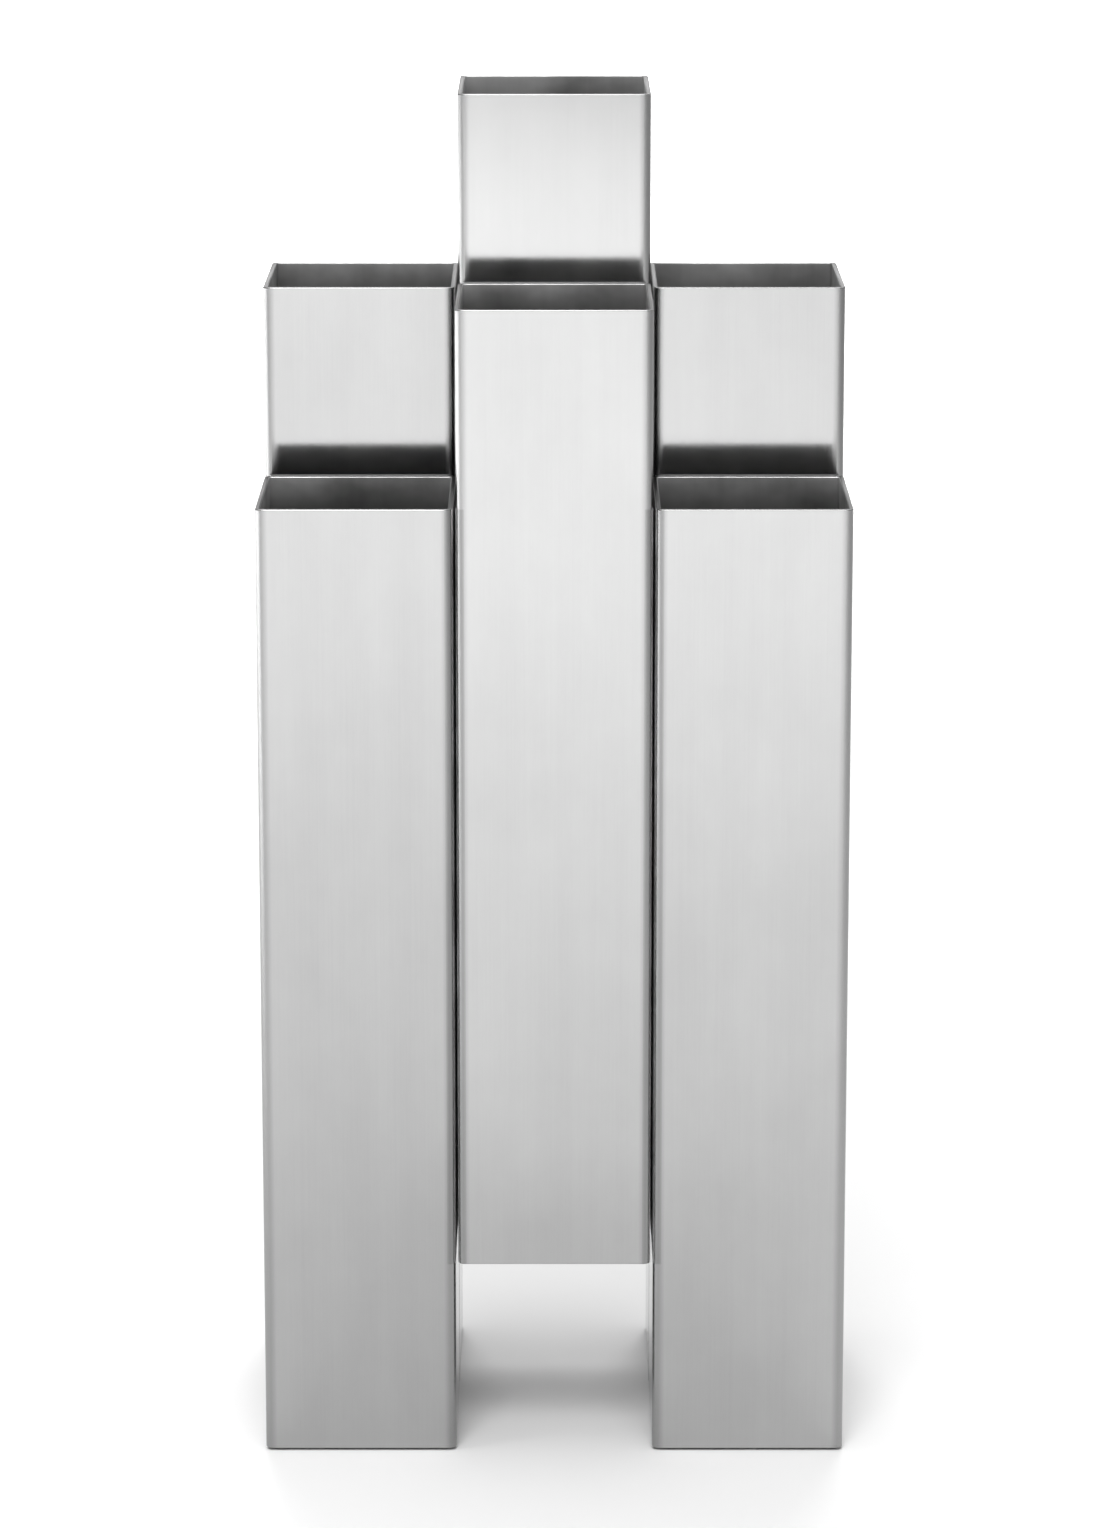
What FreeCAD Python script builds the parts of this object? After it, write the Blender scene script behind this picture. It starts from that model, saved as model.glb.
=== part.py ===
import FreeCAD, Part
import math
import os
import Sketcher
from FreeCAD import Placement, Rotation, Vector

# Umbrella stand: six square stainless tubes, three columns by two rows, bolted side by side.
# +Z is up and the front faces -Y. The origin is on the floor, at the centre of the footprint.
# The outer columns stand on rubber feet. The centre column hangs between them, one tube side up.

DIMENSIONS = (
    ("tube_side", 80),
    ("tube_wall", 2),
    ("tube_corner", 3),
    ("tube_gap", 1),
    ("rim_radius", 0.5),
    ("short_length", 400),
    ("long_length", 479),
    # heights of the tubes' lower ends
    ("foot_height", 1),
    ("front_lift", 82),
    ("rear_lift", 81),
    # floor of each tube, set up inside its lower end
    ("plate_thickness", 2),
    ("plate_recess", 3),
    ("plate_gap", 0.1),
    ("plate_corner", 1.5),
    # rubber feet under the four tubes that stand on the floor
    ("foot_radius", 7),
    ("foot_offset", 26),
    ("foot_chamfer", 0.5),
    # drip cup, which stands loose on each floor
    ("cup_side", 68.5),
    ("cup_corner", 4.5),
    ("cup_height", 60),
    ("cup_wall", 1.5),
    ("cup_heel", 2),
    ("lip_side", 71),
    ("lip_height", 2.5),
    ("lip_edge", 0.5),
    # heights of the screws that hold the tubes together
    ("joint_low", 130),
    ("joint_high_front", 310),
    ("joint_high_rear", 390),
    ("hole_radius", 3.7),
    # spacing washer, sleeve nut and screw
    ("washer_radius", 8),
    ("head_radius", 6),
    ("head_height", 1.5),
    ("head_edge", 0.4),
    ("barrel_radius", 3.5),
    ("barrel_length", 4.8),
    ("thread_radius", 2.5),
    ("shank_radius", 2.4),
    ("shank_length", 4.5),
    ("socket_radius", 1.75),
    ("socket_depth", 1),
)

# name: (column, row, cell of its length, cell of its lower end's height)
TUBES = {
    "front_left": (-1, -1, "short_length", "foot_height"),
    "front_centre": (0, -1, "short_length", "front_lift"),
    "front_right": (1, -1, "short_length", "foot_height"),
    "rear_left": (-1, 1, "long_length", "foot_height"),
    "rear_centre": (0, 1, "long_length", "rear_lift"),
    "rear_right": (1, 1, "long_length", "foot_height"),
}

# name: (tube with the nuts, tube with the screws, cell of the upper screw's height)
JOINTS = {
    "front_left_joint": ("front_centre", "front_left", "joint_high_front"),
    "front_right_joint": ("front_centre", "front_right", "joint_high_front"),
    "rear_left_joint": ("rear_centre", "rear_left", "joint_high_rear"),
    "rear_right_joint": ("rear_centre", "rear_right", "joint_high_rear"),
    "left_side_joint": ("front_left", "rear_left", "joint_high_front"),
    "centre_joint": ("front_centre", "rear_centre", "joint_high_rear"),
    "right_side_joint": ("front_right", "rear_right", "joint_high_front"),
}

PITCH = "(Dims.tube_side + Dims.tube_gap)"
BORE_SIDE = "Dims.tube_side - 2 * Dims.tube_wall"
# from the middle of a gap to the inner face of either tube's wall
WALL_FACE = "Dims.tube_gap / 2 + Dims.tube_wall"

PARTS_FOLDER = "parts"
TOUCH = 1e-6

doc = FreeCAD.newDocument("umbrella_stand")
nodes = []


# --- the sheet and the bodies

def make_sheet():
    sheet = doc.addObject("Spreadsheet::Sheet", "Dims")
    for row, (name, value) in enumerate(DIMENSIONS, start=1):
        sheet.set("A%d" % row, name)
        sheet.set("B%d" % row, str(value))
        sheet.setAlias("B%d" % row, name)
    doc.recompute()


def dimension(name):
    """A driving dimension, read from the sheet."""
    return float(doc.Dims.get(name))


def make_body(node):
    body = doc.addObject("PartDesign::Body", node)
    body.Label = node
    body.AllowCompound = True
    nodes.append(body)
    return body


def place(body, x, y, z, turn=0):
    """Put a body in the stand: expressions for its place, and its turn about +Z in degrees."""
    body.Placement = Placement(Vector(0, 0, 0), Rotation(Vector(0, 0, 1), turn))
    for axis, expression in (("x", x), ("y", y), ("z", z)):
        body.setExpression("Placement.Base." + axis, expression)


# --- sketches

def origin_feature(body, role):
    return next(feature for feature in body.Origin.OriginFeatures if feature.Role == role)


def make_sketch(body, name, role, offset=None):
    """A sketch on one of the body's own origin planes, moved along its normal by an expression."""
    sketch = body.newObject("Sketcher::SketchObject", name)
    sketch.AttachmentSupport = [(origin_feature(body, role), "")]
    sketch.MapMode = "FlatFace"
    if offset:
        sketch.setExpression("AttachmentOffset.Base.z", offset)
    return sketch


def drive(sketch, constraint, name, expression):
    """Add a named constraint whose value is an expression."""
    index = sketch.addConstraint(constraint)
    sketch.renameConstraint(index, name)
    sketch.setExpression("Constraints." + name, expression)


def add_loop(sketch, corners):
    """A closed loop of lines through the corners."""
    lines = []
    for start, end in zip(corners, corners[1:] + corners[:1]):
        lines.append(sketch.addGeometry(Part.LineSegment(start, end), False))
    for line, following in zip(lines, lines[1:] + lines[:1]):
        sketch.addConstraint(Sketcher.Constraint("Coincident", line, 2, following, 1))
    return lines


def add_square(sketch, side):
    """A square centred on the sketch's origin."""
    lines = add_loop(sketch, [Vector(-1, -1), Vector(1, -1), Vector(1, 1), Vector(-1, 1)])
    for line, direction in zip(lines, ("Horizontal", "Vertical", "Horizontal", "Vertical")):
        sketch.addConstraint(Sketcher.Constraint(direction, line))
    sketch.addConstraint(Sketcher.Constraint("Symmetric", lines[0], 1, lines[1], 2, -1, 1))
    sketch.addConstraint(Sketcher.Constraint("Equal", lines[0], lines[1]))
    drive(sketch, Sketcher.Constraint("Distance", lines[0], 2), "side", side)


def add_circle(sketch, name, radius, across="0", up="0"):
    """A circle whose centre is given by two expressions, in the sketch's own axes."""
    circle = sketch.addGeometry(Part.Circle(Vector(1, 1), Vector(0, 0, 1), 2), False)
    drive(sketch, Sketcher.Constraint("Radius", circle, 2), name + "_radius", radius)
    drive(sketch, Sketcher.Constraint("DistanceX", -1, 1, circle, 3, 1), name + "_across", across)
    drive(sketch, Sketcher.Constraint("DistanceY", -1, 1, circle, 3, 1), name + "_up", up)


def add_hexagon(sketch, radius):
    """A hexagon about the sketch's origin, with its corners on a circle of that radius."""
    corners = [Rotation(Vector(0, 0, 1), 60 * number).multVec(Vector(2, 0)) for number in range(6)]
    circle = sketch.addGeometry(Part.Circle(Vector(0, 0), Vector(0, 0, 1), 2), True)
    sketch.addConstraint(Sketcher.Constraint("Coincident", circle, 3, -1, 1))
    drive(sketch, Sketcher.Constraint("Radius", circle, 2), "corner_radius", radius)
    lines = add_loop(sketch, corners)
    for line in lines:
        sketch.addConstraint(Sketcher.Constraint("PointOnObject", line, 1, circle))
    for line in lines[1:]:
        sketch.addConstraint(Sketcher.Constraint("Equal", lines[0], line))
    sketch.addConstraint(Sketcher.Constraint("PointOnObject", lines[0], 1, -1))


# --- features

def pad(body, sketch, length, backwards=False):
    feature = body.newObject("PartDesign::Pad", sketch.Name + "_pad")
    feature.Profile = sketch
    feature.setExpression("Length", length)
    feature.Reversed = backwards
    doc.recompute()
    return feature


def pocket(body, sketch, length, along_normal):
    """Cut along the sketch's normal or against it, and stop if nothing was cut."""
    before = body.Shape.Volume
    feature = body.newObject("PartDesign::Pocket", sketch.Name + "_pocket")
    feature.Profile = sketch
    feature.setExpression("Length", length)
    feature.Reversed = along_normal
    doc.recompute()
    if body.Shape.Volume > before - TOUCH:
        raise RuntimeError(feature.Name + " cuts nothing")
    return feature


def dress(body, kind, base, edges, size):
    """A Fillet or Chamfer of that size on the named edges."""
    feature = body.newObject("PartDesign::" + kind, base.Name + "_" + kind.lower())
    feature.Base = (base, edges)
    feature.setExpression("Radius" if kind == "Fillet" else "Size", size)
    doc.recompute()
    return feature


def pattern_up(body, upper):
    """Repeat the whole body at the joint's upper height."""
    feature = body.newObject("PartDesign::LinearPattern", body.Name + "_pair")
    feature.TransformMode = "Whole shape"
    feature.Direction = (origin_feature(body, "Z_Axis"), [""])
    feature.setExpression("Length", "Dims.%s - Dims.joint_low" % upper)
    feature.Occurrences = 2
    body.Tip = feature
    doc.recompute()


# --- edges to dress

def edges_where(feature, test):
    return ["Edge%d" % number for number, edge in enumerate(feature.Shape.Edges, start=1) if test(edge)]


def lies_at(axis, level):
    """A test for edges that lie in the plane at that level of the body's x or z axis."""
    def test(edge):
        box = edge.BoundBox
        low, high = (box.XMin, box.XMax) if axis == "x" else (box.ZMin, box.ZMax)
        return abs(low - level) < TOUCH and abs(high - level) < TOUCH
    return test


def upright_corner(half_side):
    """A test for the four upright edges of a square block or bore about the body's z axis."""
    def test(edge):
        box = edge.BoundBox
        upright = box.XLength < TOUCH and box.YLength < TOUCH
        return upright and abs(abs(box.XMin) - half_side) < TOUCH and abs(abs(box.YMin) - half_side) < TOUCH
    return test


# --- where things stand

def tube_x(tube):
    return "%d * %s" % (TUBES[tube][0], PITCH)


def tube_y(tube):
    return "%d * %s / 2" % (TUBES[tube][1], PITCH)


def tube_foot(tube):
    return "Dims." + TUBES[tube][3]


def plate_top(tube):
    return tube_foot(tube) + " + Dims.plate_recess + Dims.plate_thickness"


def direction(tube, neighbour):
    """The way from a tube to its neighbour, as steps along X and along Y."""
    columns = TUBES[neighbour][0] - TUBES[tube][0]
    rows = (TUBES[neighbour][1] - TUBES[tube][1]) // 2
    return columns, rows


def place_on_joint(body, joint):
    """Fasteners are drawn along +X, from the middle of the gap between the two tubes."""
    nut_tube, screw_tube = JOINTS[joint][:2]
    x = "(%s + %s) / 2" % (tube_x(nut_tube), tube_x(screw_tube))
    y = "(%s + %s) / 2" % (tube_y(nut_tube), tube_y(screw_tube))
    columns, rows = direction(nut_tube, screw_tube)
    place(body, x, y, "Dims.joint_low", turn=math.degrees(math.atan2(rows, columns)))


# --- the pieces

def drill_walls(body, tube):
    """Two screw holes through each wall that meets a neighbouring tube."""
    for joint, (nut_tube, screw_tube, upper) in JOINTS.items():
        if tube not in (nut_tube, screw_tube):
            continue
        columns, rows = direction(tube, screw_tube if tube == nut_tube else nut_tube)
        # the normal is +X on the YZ plane, but -Y on the XZ plane
        sketch = make_sketch(body, tube + "_" + joint, "YZ_Plane" if columns else "XZ_Plane")
        for height in ("joint_low", upper):
            add_circle(sketch, height, "Dims.hole_radius", "0", "Dims.%s - %s" % (height, tube_foot(tube)))
        pocket(body, sketch, "Dims.tube_side", along_normal=columns > 0 or rows < 0)


def make_tube(tube):
    length = "Dims." + TUBES[tube][2]
    body = make_body(tube + "_tube")
    outside = make_sketch(body, tube + "_outside", "XY_Plane")
    add_square(outside, "Dims.tube_side")
    block = pad(body, outside, length)
    half_side = dimension("tube_side") / 2
    dress(body, "Fillet", block, edges_where(block, upright_corner(half_side)), "Dims.tube_corner")
    inside = make_sketch(body, tube + "_inside", "XY_Plane")
    add_square(inside, BORE_SIDE)
    bore = pocket(body, inside, length, along_normal=True)
    bore_corners = edges_where(bore, upright_corner(half_side - dimension("tube_wall")))
    dress(body, "Fillet", bore, bore_corners, "Dims.tube_corner - Dims.tube_wall")
    drill_walls(body, tube)
    top = lies_at("z", dimension(TUBES[tube][2]))
    bottom = lies_at("z", 0)
    rims = edges_where(body.Tip, lambda edge: top(edge) or bottom(edge))
    dress(body, "Fillet", body.Tip, rims, "Dims.rim_radius")
    place(body, tube_x(tube), tube_y(tube), tube_foot(tube))


def make_base_plate(tube):
    body = make_body(tube + "_base_plate")
    sketch = make_sketch(body, tube + "_plate", "XY_Plane")
    add_square(sketch, BORE_SIDE + " - 2 * Dims.plate_gap")
    plate = pad(body, sketch, "Dims.plate_thickness")
    half_side = dimension("tube_side") / 2 - dimension("tube_wall") - dimension("plate_gap")
    dress(body, "Fillet", plate, edges_where(plate, upright_corner(half_side)), "Dims.plate_corner")
    place(body, tube_x(tube), tube_y(tube), tube_foot(tube) + " + Dims.plate_recess")


def make_feet(tube):
    """Four rubber discs under a base plate, one in each corner."""
    body = make_body(tube + "_feet")
    sketch = make_sketch(body, tube + "_discs", "XY_Plane")
    for number, (across, up) in enumerate(((-1, -1), (1, -1), (1, 1), (-1, 1))):
        centre = ["%d * Dims.foot_offset" % sign for sign in (across, up)]
        add_circle(sketch, "disc%d" % number, "Dims.foot_radius", *centre)
    discs = pad(body, sketch, "Dims.foot_height + Dims.plate_recess")
    dress(body, "Chamfer", discs, edges_where(discs, lies_at("z", 0)), "Dims.foot_chamfer")
    place(body, tube_x(tube), tube_y(tube), "0")


def make_drip_cup(tube):
    """A moulded cup with a lip, loose on the base plate."""
    body = make_body(tube + "_drip_cup")
    half_side = dimension("cup_side") / 2
    outside = make_sketch(body, tube + "_cup_outside", "XY_Plane")
    add_square(outside, "Dims.cup_side")
    block = pad(body, outside, "Dims.cup_height")
    rounded = dress(body, "Fillet", block, edges_where(block, upright_corner(half_side)), "Dims.cup_corner")
    dress(body, "Fillet", rounded, edges_where(rounded, lies_at("z", 0)), "Dims.cup_heel")
    lip = make_sketch(body, tube + "_cup_lip", "XY_Plane", "Dims.cup_height - Dims.lip_height")
    add_square(lip, "Dims.lip_side")
    band = pad(body, lip, "Dims.lip_height")
    lip_corners = edges_where(band, upright_corner(dimension("lip_side") / 2))
    dress(body, "Fillet", band, lip_corners, "Dims.cup_corner + (Dims.lip_side - Dims.cup_side) / 2")
    hollow = make_sketch(body, tube + "_cup_hollow", "XY_Plane", "Dims.cup_wall")
    add_square(hollow, "Dims.cup_side - 2 * Dims.cup_wall")
    bore = pocket(body, hollow, "Dims.cup_height", along_normal=True)
    bore_corners = edges_where(bore, upright_corner(half_side - dimension("cup_wall")))
    rounded = dress(body, "Fillet", bore, bore_corners, "Dims.cup_corner - Dims.cup_wall")
    floor_edges = edges_where(rounded, lies_at("z", dimension("cup_wall")))
    hollowed = dress(body, "Fillet", rounded, floor_edges, "Dims.cup_heel - Dims.cup_wall")
    brim = edges_where(hollowed, lies_at("z", dimension("cup_height")))
    dress(body, "Fillet", hollowed, brim, "Dims.lip_edge")
    place(body, tube_x(tube), tube_y(tube), plate_top(tube))


def make_washers(joint):
    """Spacing washers in the gap, one round each sleeve nut."""
    body = make_body(joint + "_washers")
    disc = make_sketch(body, joint + "_washer", "YZ_Plane", "-Dims.tube_gap / 2")
    add_circle(disc, "outside", "Dims.washer_radius")
    add_circle(disc, "hole", "Dims.hole_radius")
    pad(body, disc, "Dims.tube_gap")
    pattern_up(body, JOINTS[joint][2])
    place_on_joint(body, joint)


def make_head(body, joint, name, side):
    """A low round head against a tube wall, on side -1 or +1 of the gap, with its outer edge broken."""
    sketch = make_sketch(body, joint + "_" + name, "YZ_Plane", "%d * (%s)" % (side, WALL_FACE))
    add_circle(sketch, "head", "Dims.head_radius")
    disc = pad(body, sketch, "Dims.head_height", backwards=side < 0)
    outer_face = dimension("tube_gap") / 2 + dimension("tube_wall") + dimension("head_height")
    dress(body, "Chamfer", disc, edges_where(disc, lies_at("x", side * outer_face)), "Dims.head_edge")


def make_sleeve_nuts(joint):
    body = make_body(joint + "_nuts")
    make_head(body, joint, "nut_head", -1)
    barrel = make_sketch(body, joint + "_barrel", "YZ_Plane", "-(%s)" % WALL_FACE)
    add_circle(barrel, "barrel", "Dims.barrel_radius")
    pad(body, barrel, "Dims.barrel_length")
    thread = make_sketch(body, joint + "_thread", "YZ_Plane", "-(%s)" % WALL_FACE)
    add_circle(thread, "thread", "Dims.thread_radius")
    pocket(body, thread, "Dims.barrel_length", along_normal=True)
    pattern_up(body, JOINTS[joint][2])
    place_on_joint(body, joint)


def make_screws(joint):
    body = make_body(joint + "_screws")
    make_head(body, joint, "screw_head", 1)
    shank = make_sketch(body, joint + "_shank", "YZ_Plane", WALL_FACE)
    add_circle(shank, "shank", "Dims.shank_radius")
    pad(body, shank, "Dims.shank_length", backwards=True)
    socket = make_sketch(body, joint + "_socket", "YZ_Plane", WALL_FACE + " + Dims.head_height")
    add_hexagon(socket, "Dims.socket_radius")
    pocket(body, socket, "Dims.socket_depth", along_normal=False)
    pattern_up(body, JOINTS[joint][2])
    place_on_joint(body, joint)


# --- checks and files

def check():
    doc.recompute()
    for item in doc.Objects:
        if "Invalid" in item.State or "Error" in item.State:
            raise RuntimeError("%s has state %s" % (item.Name, item.State))
    for body in nodes:
        if body.Shape.isNull() or not body.Shape.isValid():
            raise RuntimeError(body.Label + " has no valid shape")


def export():
    os.makedirs(PARTS_FOLDER, exist_ok=True)
    for body in nodes:
        body.Shape.exportStep(os.path.join(PARTS_FOLDER, body.Label + ".step"))
        box = body.Shape.BoundBox
        print("%-26s %d solids, z %.1f to %.1f" % (body.Label, len(body.Shape.Solids), box.ZMin, box.ZMax))


make_sheet()
for tube_name in TUBES:
    make_tube(tube_name)
    make_base_plate(tube_name)
    make_drip_cup(tube_name)
    if TUBES[tube_name][3] == "foot_height":
        make_feet(tube_name)
for joint_name in JOINTS:
    make_washers(joint_name)
    make_sleeve_nuts(joint_name)
    make_screws(joint_name)
check()
export()
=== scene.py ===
import math
import bpy
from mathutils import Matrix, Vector


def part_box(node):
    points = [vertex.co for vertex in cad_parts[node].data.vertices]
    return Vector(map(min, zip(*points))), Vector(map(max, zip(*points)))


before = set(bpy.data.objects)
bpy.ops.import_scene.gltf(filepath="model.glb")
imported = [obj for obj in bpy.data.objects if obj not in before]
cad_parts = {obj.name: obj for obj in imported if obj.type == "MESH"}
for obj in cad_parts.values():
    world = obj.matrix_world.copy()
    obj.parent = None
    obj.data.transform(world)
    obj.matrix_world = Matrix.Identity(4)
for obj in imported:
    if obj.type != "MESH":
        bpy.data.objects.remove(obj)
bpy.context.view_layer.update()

# Looks for the umbrella stand: brushed stainless tubes on a pale studio floor.
# Metres, in the CAD frame: +Z up, front towards -Y, origin on the floor at the footprint's centre.

TUBES = [name for name in sorted(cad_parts) if name.endswith("_tube")]
WALL = 0.002
WALL_MARGIN = 0.0003     # the mask of a tube's inside reaches this far into its wall
GAP_REACH = 0.0015       # a gap's box goes this far from each wall's face, into the wall beyond the gap
RIM_DEPTH = 0.00012      # the rims' mask goes this far from either end of a tube
SHADE_DARKEST_DEPTH = 0.02        # painted shade makes the inside darkest this far from either end
SHADE_START_DEPTH = 0.001      # and leaves it at its lightest, unshaded, this close to one
CORNER_BAND = 0.005      # painted shade darkens the outside, which is also duller, this close to a tube's upright edges
GAP_SHADE_BAND = 0.003         # and painted shade darkens it further where it is also this close to a gap's box

# The tone of each tube's outside, fitted face by face to the grey levels of the real stand; the differences
# between the tubes are painted light and shade.
PAINTED_TUBE_TONES = {
    "front_left_tube": 0.395,
    "front_centre_tube": 0.435,
    "front_right_tube": 0.43,
    "rear_left_tube": 0.385,
    "rear_centre_tube": 0.46,
    "rear_right_tube": 0.4,
}
CORNER_SHADE_SHARE = 0.72      # what painted shade leaves of the tone in the corner band
GAP_SHADE_SHARE = 0.78         # and what further painted shade leaves of that beside a gap
DEEP_SHADE_SHARE = 0.36        # what painted depth shade leaves of the inside's tone at its darkest
HIDDEN_GAIN = 2.0        # how much lighter the faces in the gaps are than the inside, whose painted depth shade they carry
HIDDEN_LIMIT = 0.8       # and the lightest that they get

INNER_ROUGHNESS = 0.45
RIM_ROUGHNESS = 0.36
CORNER_ROUGHNESS = 0.14  # what the corner band adds to the outside's roughness

# How fine the tubes' patterns are: lumps per metre along X, Y and Z. The brushing runs along Z.
FINE_GRAIN = (1500, 1500, 9)
SHORT_GRAIN = (2600, 2600, 55)
BANDS = (95, 95, 1.6)
CLOUDS = (22, 22, 14)
DRAWN_LINES = (300, 300, 6)
STAINS = (30, 30, 40)
PATTERN_STEP = (1.37, 0.71, 0.53)   # shift from one tube's patterns to the next one's, so that no two match

# How far each pattern takes the outside's tone either way.
GRAIN_SWING = 0.008
BAND_SWING = 0.006
CLOUD_SWING = 0.015

FLOOR_SIZE = 60
WORLD_STRENGTH = 0.58

# name: (place, the point that it faces, width and height, watts, spread in degrees)
LAMPS = {
    "front_box": ((-1.2, -4.8, 3.0), (-1.0, -4.5, 0), (2.2, 6.8), 170, 116),
    "near_box": ((-0.5, -2.0, 2.2), (-0.4, -1.4, 0), (1.0, 1.4), 7, 90),
    "back_box": ((0.1, 5.0, 3.6), (0.1, 4.6, 0), (2.4, 5.0), 250, 110),
    "left_box": ((-1.7, -0.5, 1.8), (-1.6, -0.4, 0), (1.2, 1.2), 14, 70),
    "far_left_box": ((-3.4, 0.8, 2.6), (-3.4, 0.8, 0), (2.8, 5.4), 230, 70),
}

CAMERA_PLACE = (-0.0003, -2.2165, 0.783)
CAMERA_DIP = 12.85       # degrees below level
LENS = 126.6             # millimetres, as is the sensor's width
SENSOR_WIDTH = 36


# --- node graphs

class Graph:
    """A material's or world's node tree, with one short call that adds a node and links its inputs."""

    def __init__(self, owner):
        owner.use_nodes = True
        self.tree = owner.node_tree
        self.tree.nodes.clear()

    def add(self, kind, inputs=None, **settings):
        node = self.tree.nodes.new(kind)
        for name, value in settings.items():
            setattr(node, name, value)
        for name, value in (inputs or {}).items():
            if isinstance(value, bpy.types.NodeSocket):
                self.tree.links.new(value, node.inputs[name])
            else:
                node.inputs[name].default_value = value
        return node

    def place(self):
        """The point being shaded, in the object's own coordinates, which at rest are the frame's."""
        return self.add("ShaderNodeTexCoord").outputs["Object"]

    def math(self, operation, first, second):
        return self.add("ShaderNodeMath", {0: first, 1: second}, operation=operation).outputs[0]

    def vector(self, operation, first, second=(0.0, 0.0, 0.0)):
        node = self.add("ShaderNodeVectorMath", {0: first, 1: second}, operation=operation)
        return node.outputs["Vector"]

    def noise(self, place, per_metre, detail, roughness=0.5):
        """A noise with so many lumps per metre along each axis."""
        scaled = self.vector("MULTIPLY", place, per_metre)
        inputs = {"Vector": scaled, "Scale": 1.0, "Detail": detail, "Roughness": roughness}
        return self.add("ShaderNodeTexNoise", inputs).outputs["Fac"]

    def spread(self, value, low, high, low_in=0.3, high_in=0.7):
        """Maps a value to low..high from its own range, which for a noise is about 0.3 to 0.7."""
        inputs = {"Value": value, "From Min": low_in, "From Max": high_in, "To Min": low, "To Max": high}
        return self.add("ShaderNodeMapRange", inputs).outputs["Result"]

    def inside_box(self, place, low, high):
        """1 within the box and 0 outside it."""
        half = (high - low) / 2
        offset = self.vector("ABSOLUTE", self.vector("SUBTRACT", place, tuple((low + high) / 2)))
        share = self.add("ShaderNodeSeparateXYZ", {"Vector": self.vector("DIVIDE", offset, tuple(half))})
        widest = self.math("MAXIMUM", share.outputs["X"], share.outputs["Y"])
        return self.math("LESS_THAN", self.math("MAXIMUM", widest, share.outputs["Z"]), 1.0)

    def grey(self, value):
        return self.add("ShaderNodeCombineColor", {"Red": value, "Green": value, "Blue": value}).outputs[0]

    def choose(self, factor, first, second):
        """The first value where the factor is 0 and the second where it is 1."""
        inputs = {"Factor": factor, "A": first, "B": second}
        return self.add("ShaderNodeMix", inputs, data_type="FLOAT").outputs["Result"]

    def bump(self, height, distance):
        return self.add("ShaderNodeBump", {"Height": height, "Distance": distance}).outputs["Normal"]

    def surface(self, inputs):
        shader = self.add("ShaderNodeBsdfPrincipled", inputs)
        self.add("ShaderNodeOutputMaterial", {"Surface": shader.outputs["BSDF"]})


def new_graph(name):
    material = bpy.data.materials.new(name)
    return material, Graph(material)


# --- the tubes' steel

def gaps_beside(tube):
    """For each neighbour, the thin box that holds the gap and the two walls' faces, as far as both reach."""
    low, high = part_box(tube)
    grown = Vector((GAP_REACH, GAP_REACH, 0))
    for other in TUBES:
        other_low, other_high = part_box(other)
        start = Vector(map(max, low, other_low)) - grown
        end = Vector(map(min, high, other_high)) + grown
        thin = sum(end[axis] - start[axis] < 2 * GAP_REACH for axis in range(2))
        if other != tube and thin == 1 and min(end - start) > 0:
            yield start, end


def tube_zones(g, place, tube):
    """Masks for parts of a tube's surface, each 1 in its zone, and the distance to the nearer end."""
    low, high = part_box(tube)
    half = (high - low) / 2
    offset = g.vector("ABSOLUTE", g.vector("SUBTRACT", place, tuple((low + high) / 2)))
    split = g.add("ShaderNodeSeparateXYZ", {"Vector": offset}).outputs
    farther = g.math("MAXIMUM", split["X"], split["Y"])
    nearer = g.math("MINIMUM", split["X"], split["Y"])
    # The corner band, darkened by painted shade and made rougher
    corner = g.spread(nearer, 0.0, 1.0, half.x - CORNER_BAND, half.x - CORNER_BAND / 2)

    hidden = beside_gap_shade = 0.0
    # Painted shade beside a gap: a band around each gap's box
    band = Vector((GAP_SHADE_BAND, GAP_SHADE_BAND, 0))
    for gap_low, gap_high in gaps_beside(tube):
        hidden = g.math("MAXIMUM", g.inside_box(place, gap_low, gap_high), hidden)
        near = g.inside_box(place, gap_low - band, gap_high + band)
        beside_gap_shade = g.math("MAXIMUM", near, beside_gap_shade)

    return {
        "inside": g.math("LESS_THAN", farther, half.x - WALL + WALL_MARGIN),
        "rim": g.math("GREATER_THAN", split["Z"], half.z - RIM_DEPTH),
        "hidden": hidden,
        "corner": corner,
        # where painted shade darkens the corner band further, beside a gap
        "gap_corner_shade": g.math("MULTIPLY", corner, beside_gap_shade),
        "end_distance": g.math("SUBTRACT", half.z, split["Z"]),
    }


def outer_tone(g, zones, tone, grain, bands, clouds):
    result = g.spread(grain, tone - GRAIN_SWING, tone + GRAIN_SWING)
    result = g.math("ADD", result, g.spread(bands, -BAND_SWING, BAND_SWING))
    result = g.math("ADD", result, g.spread(clouds, -CLOUD_SWING, CLOUD_SWING))
    # Painted shade: darker in the corner band, and darker still beside a gap
    result = g.math("MULTIPLY", result, g.choose(zones["corner"], 1.0, CORNER_SHADE_SHARE))
    return g.math("MULTIPLY", result, g.choose(zones["gap_corner_shade"], 1.0, GAP_SHADE_SHARE))


def inner_tone_with_depth_shade(g, zones, own):
    drawn = g.noise(own, DRAWN_LINES, detail=4.0)
    stains = g.noise(own, STAINS, detail=3.0)
    result = g.math("ADD", g.spread(drawn, 0.72, 0.76), g.spread(stains, -0.3, 0.16))
    # Painted shade: the inside darkens with depth from either end
    painted_depth_shade = g.spread(zones["end_distance"], 1.0, DEEP_SHADE_SHARE, SHADE_START_DEPTH, SHADE_DARKEST_DEPTH)
    return g.math("MULTIPLY", result, painted_depth_shade)


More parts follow.
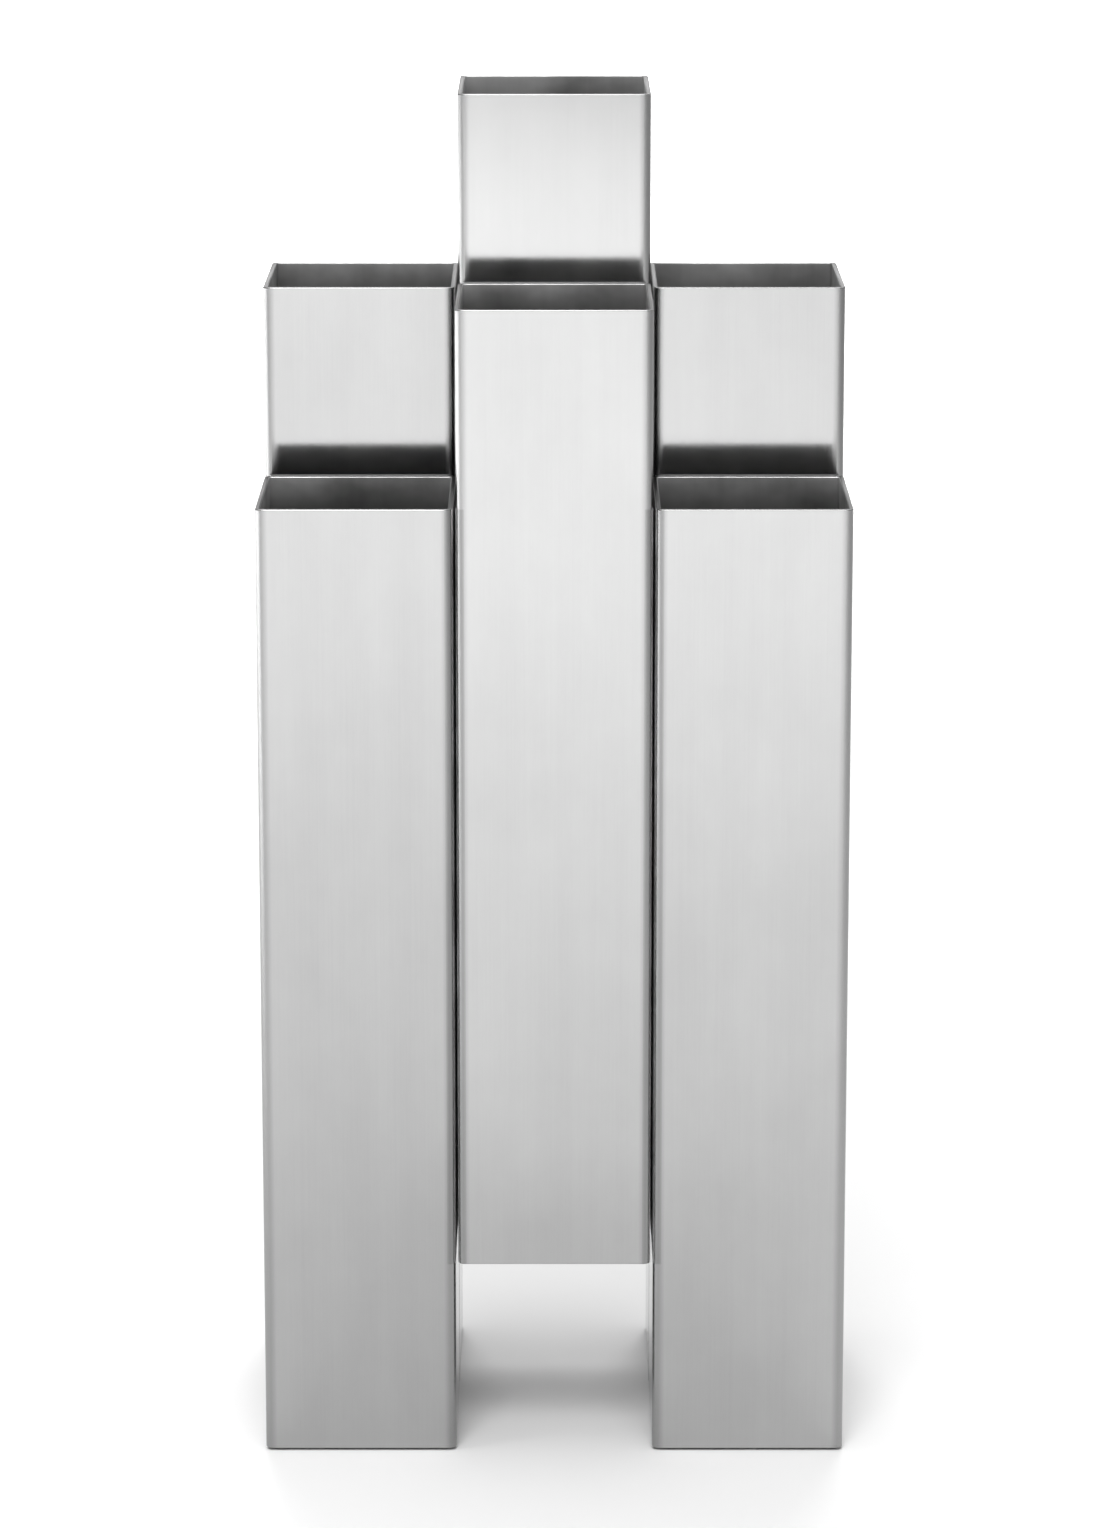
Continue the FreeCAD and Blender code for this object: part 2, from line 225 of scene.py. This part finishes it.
def tube_steel_with_painted_shade(tube, number):
    """Brushed along the tube outside, dull and drawn inside and where tubes face each other.

    The darker corners, darker still beside a gap, and the darkening with depth inside are painted shade;
    the faces in the gaps carry that painted depth shade, lifted. The darker corners, the darkening with
    depth inside and the tone of the faces in the gaps are fitted to the look of the real stand, whose
    own reasons for them aren't known.
    """
    material, g = new_graph(tube + "_steel")
    place = g.place()
    zones = tube_zones(g, place, tube)
    own = g.vector("ADD", place, tuple(number * step for step in PATTERN_STEP))
    fine = g.noise(own, FINE_GRAIN, detail=3.0)
    short = g.noise(own, SHORT_GRAIN, detail=2.0)
    bands = g.noise(own, BANDS, detail=2.0)
    clouds = g.noise(own, CLOUDS, detail=6.0, roughness=0.65)
    grain = g.math("ADD", g.math("MULTIPLY", fine, 0.6), g.math("MULTIPLY", short, 0.4))

    shaded_inner = inner_tone_with_depth_shade(g, zones, own)
    # The faces in the gaps carry the inside's painted depth shade, lifted by HIDDEN_GAIN
    hidden = g.math("MINIMUM", g.math("MULTIPLY", shaded_inner, HIDDEN_GAIN), HIDDEN_LIMIT)
    # Each tube's own tone carries painted light and shade
    tone = outer_tone(g, zones, PAINTED_TUBE_TONES[tube], grain, bands, clouds)
    tone = g.choose(zones["inside"], tone, shaded_inner)
    tone = g.choose(zones["hidden"], tone, hidden)
    tone = g.choose(zones["rim"], tone, g.spread(short, 0.17, 0.26))

    roughness = g.math("ADD", g.spread(grain, 0.07, 0.11), g.spread(clouds, -0.01, 0.015))
    roughness = g.math("ADD", roughness, g.math("MULTIPLY", zones["corner"], CORNER_ROUGHNESS))
    dull = g.math("MAXIMUM", zones["inside"], zones["hidden"])
    roughness = g.choose(dull, roughness, INNER_ROUGHNESS)
    roughness = g.choose(zones["rim"], roughness, RIM_ROUGHNESS)

    height = g.math("ADD", grain, g.math("MULTIPLY", bands, 1.2))
    tangent = g.add("ShaderNodeTangent", direction_type="RADIAL", axis="Z").outputs["Tangent"]
    g.surface({
        "Base Color": g.grey(tone),
        "Metallic": 1.0,
        "Roughness": roughness,
        "Anisotropic": 0.5,
        "Tangent": tangent,
        "Normal": g.bump(height, distance=0.000003),
    })
    return material


# --- the other materials

def plate_steel():
    """Sheet steel brushed along X."""
    material, g = new_graph("plate_steel")
    place = g.place()
    grain = g.noise(place, per_metre=(12, 1400, 1400), detail=3.0)
    clouds = g.noise(place, per_metre=(30, 30, 30), detail=3.0)
    tone = g.math("ADD", g.spread(grain, 0.42, 0.5), g.spread(clouds, -0.03, 0.03))
    g.surface({
        "Base Color": g.grey(tone),
        "Metallic": 1.0,
        "Roughness": g.spread(grain, 0.28, 0.38),
        "Normal": g.bump(grain, distance=0.000006),
    })
    return material


def fastener_steel():
    """Bright steel with a fine tooth and a few marks."""
    material, g = new_graph("fastener_steel")
    place = g.place()
    tooth = g.noise(place, per_metre=(900, 900, 900), detail=2.0)
    marks = g.noise(place, per_metre=(160, 160, 160), detail=4.0)
    g.surface({
        "Base Color": g.grey(g.spread(marks, 0.5, 0.64)),
        "Metallic": 1.0,
        "Roughness": g.spread(tooth, 0.16, 0.3),
        "Normal": g.bump(tooth, distance=0.000008),
    })
    return material


def moulded_plastic(name, tone, rough_low, rough_high):
    """Black plastic with a fine spark texture and a few paler scuffs."""
    material, g = new_graph(name)
    place = g.place()
    sparks = g.noise(place, per_metre=(1600, 1600, 1600), detail=2.0)
    scuffs = g.noise(place, per_metre=(70, 70, 25), detail=5.0, roughness=0.6)
    g.surface({
        "Base Color": g.grey(g.spread(scuffs, tone, tone * 1.9, 0.45, 0.75)),
        "Roughness": g.spread(scuffs, rough_low, rough_high),
        "Normal": g.bump(sparks, distance=0.00004),
    })
    return material


def foot_rubber():
    """Black rubber with a fine grit and some dust."""
    material, g = new_graph("foot_rubber")
    place = g.place()
    grit = g.noise(place, per_metre=(1100, 1100, 1100), detail=3.0)
    dust = g.noise(place, per_metre=(140, 140, 140), detail=4.0)
    g.surface({
        "Base Color": g.grey(g.spread(dust, 0.018, 0.05)),
        "Roughness": g.spread(dust, 0.75, 0.95),
        "Normal": g.bump(grit, distance=0.00006),
    })
    return material


def floor_paper():
    material, g = new_graph("floor_paper")
    tooth = g.noise(g.place(), per_metre=(3, 3, 3), detail=4.0)
    g.surface({"Base Color": g.grey(g.spread(tooth, 0.83, 0.85)), "Roughness": 0.9})
    return material


# --- dressing

def set_material(node, material):
    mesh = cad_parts[node].data
    mesh.materials.clear()
    mesh.materials.append(material)


def dress_nodes():
    """Every CAD node keeps its shape and gets its material."""
    for number, tube in enumerate(TUBES, start=1):
        set_material(tube, tube_steel_with_painted_shade(tube, number))
    materials = {
        "base_plate": plate_steel(),
        "feet": foot_rubber(),
        "drip_cup": moulded_plastic("cup_plastic", 0.022, 0.42, 0.56),
        "washers": moulded_plastic("washer_nylon", 0.03, 0.5, 0.62),
        "nuts": fastener_steel(),
    }
    materials["screws"] = materials["nuts"]
    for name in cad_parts:
        for ending, material in materials.items():
            if name.endswith(ending):
                set_material(name, material)


# --- studio

def make_floor():
    bpy.ops.mesh.primitive_plane_add(size=FLOOR_SIZE, location=(0, 0, 0))
    floor = bpy.context.object
    floor.name = "floor"
    floor.data.materials.append(floor_paper())


def make_world():
    world = bpy.data.worlds.new("studio")
    bpy.context.scene.world = world
    g = Graph(world)
    light = g.add("ShaderNodeBackground", {"Color": (1, 1, 1, 1), "Strength": WORLD_STRENGTH})
    g.add("ShaderNodeOutputWorld", {"Surface": light.outputs[0]})


def make_lights():
    """Soft boxes over the floor. A small spread keeps a lamp's light to the floor below it."""
    for name, (place, aim, (width, height), power, spread) in LAMPS.items():
        data = bpy.data.lights.new(name, "AREA")
        data.shape = "RECTANGLE"
        data.size = width
        data.size_y = height
        data.energy = power
        data.spread = math.radians(spread)
        lamp = bpy.data.objects.new(name, data)
        lamp.location = place
        lamp.rotation_euler = (Vector(aim) - Vector(place)).to_track_quat("-Z", "Y").to_euler()
        bpy.context.scene.collection.objects.link(lamp)


def make_camera():
    data = bpy.data.cameras.new("camera")
    data.lens = LENS
    data.sensor_width = SENSOR_WIDTH
    camera = bpy.data.objects.new("camera", data)
    camera.location = CAMERA_PLACE
    camera.rotation_euler = (math.radians(90 - CAMERA_DIP), 0, 0)
    bpy.context.scene.collection.objects.link(camera)
    bpy.context.scene.camera = camera


bpy.context.scene.view_settings.view_transform = "Standard"
dress_nodes()
make_floor()
make_world()
make_lights()
make_camera()
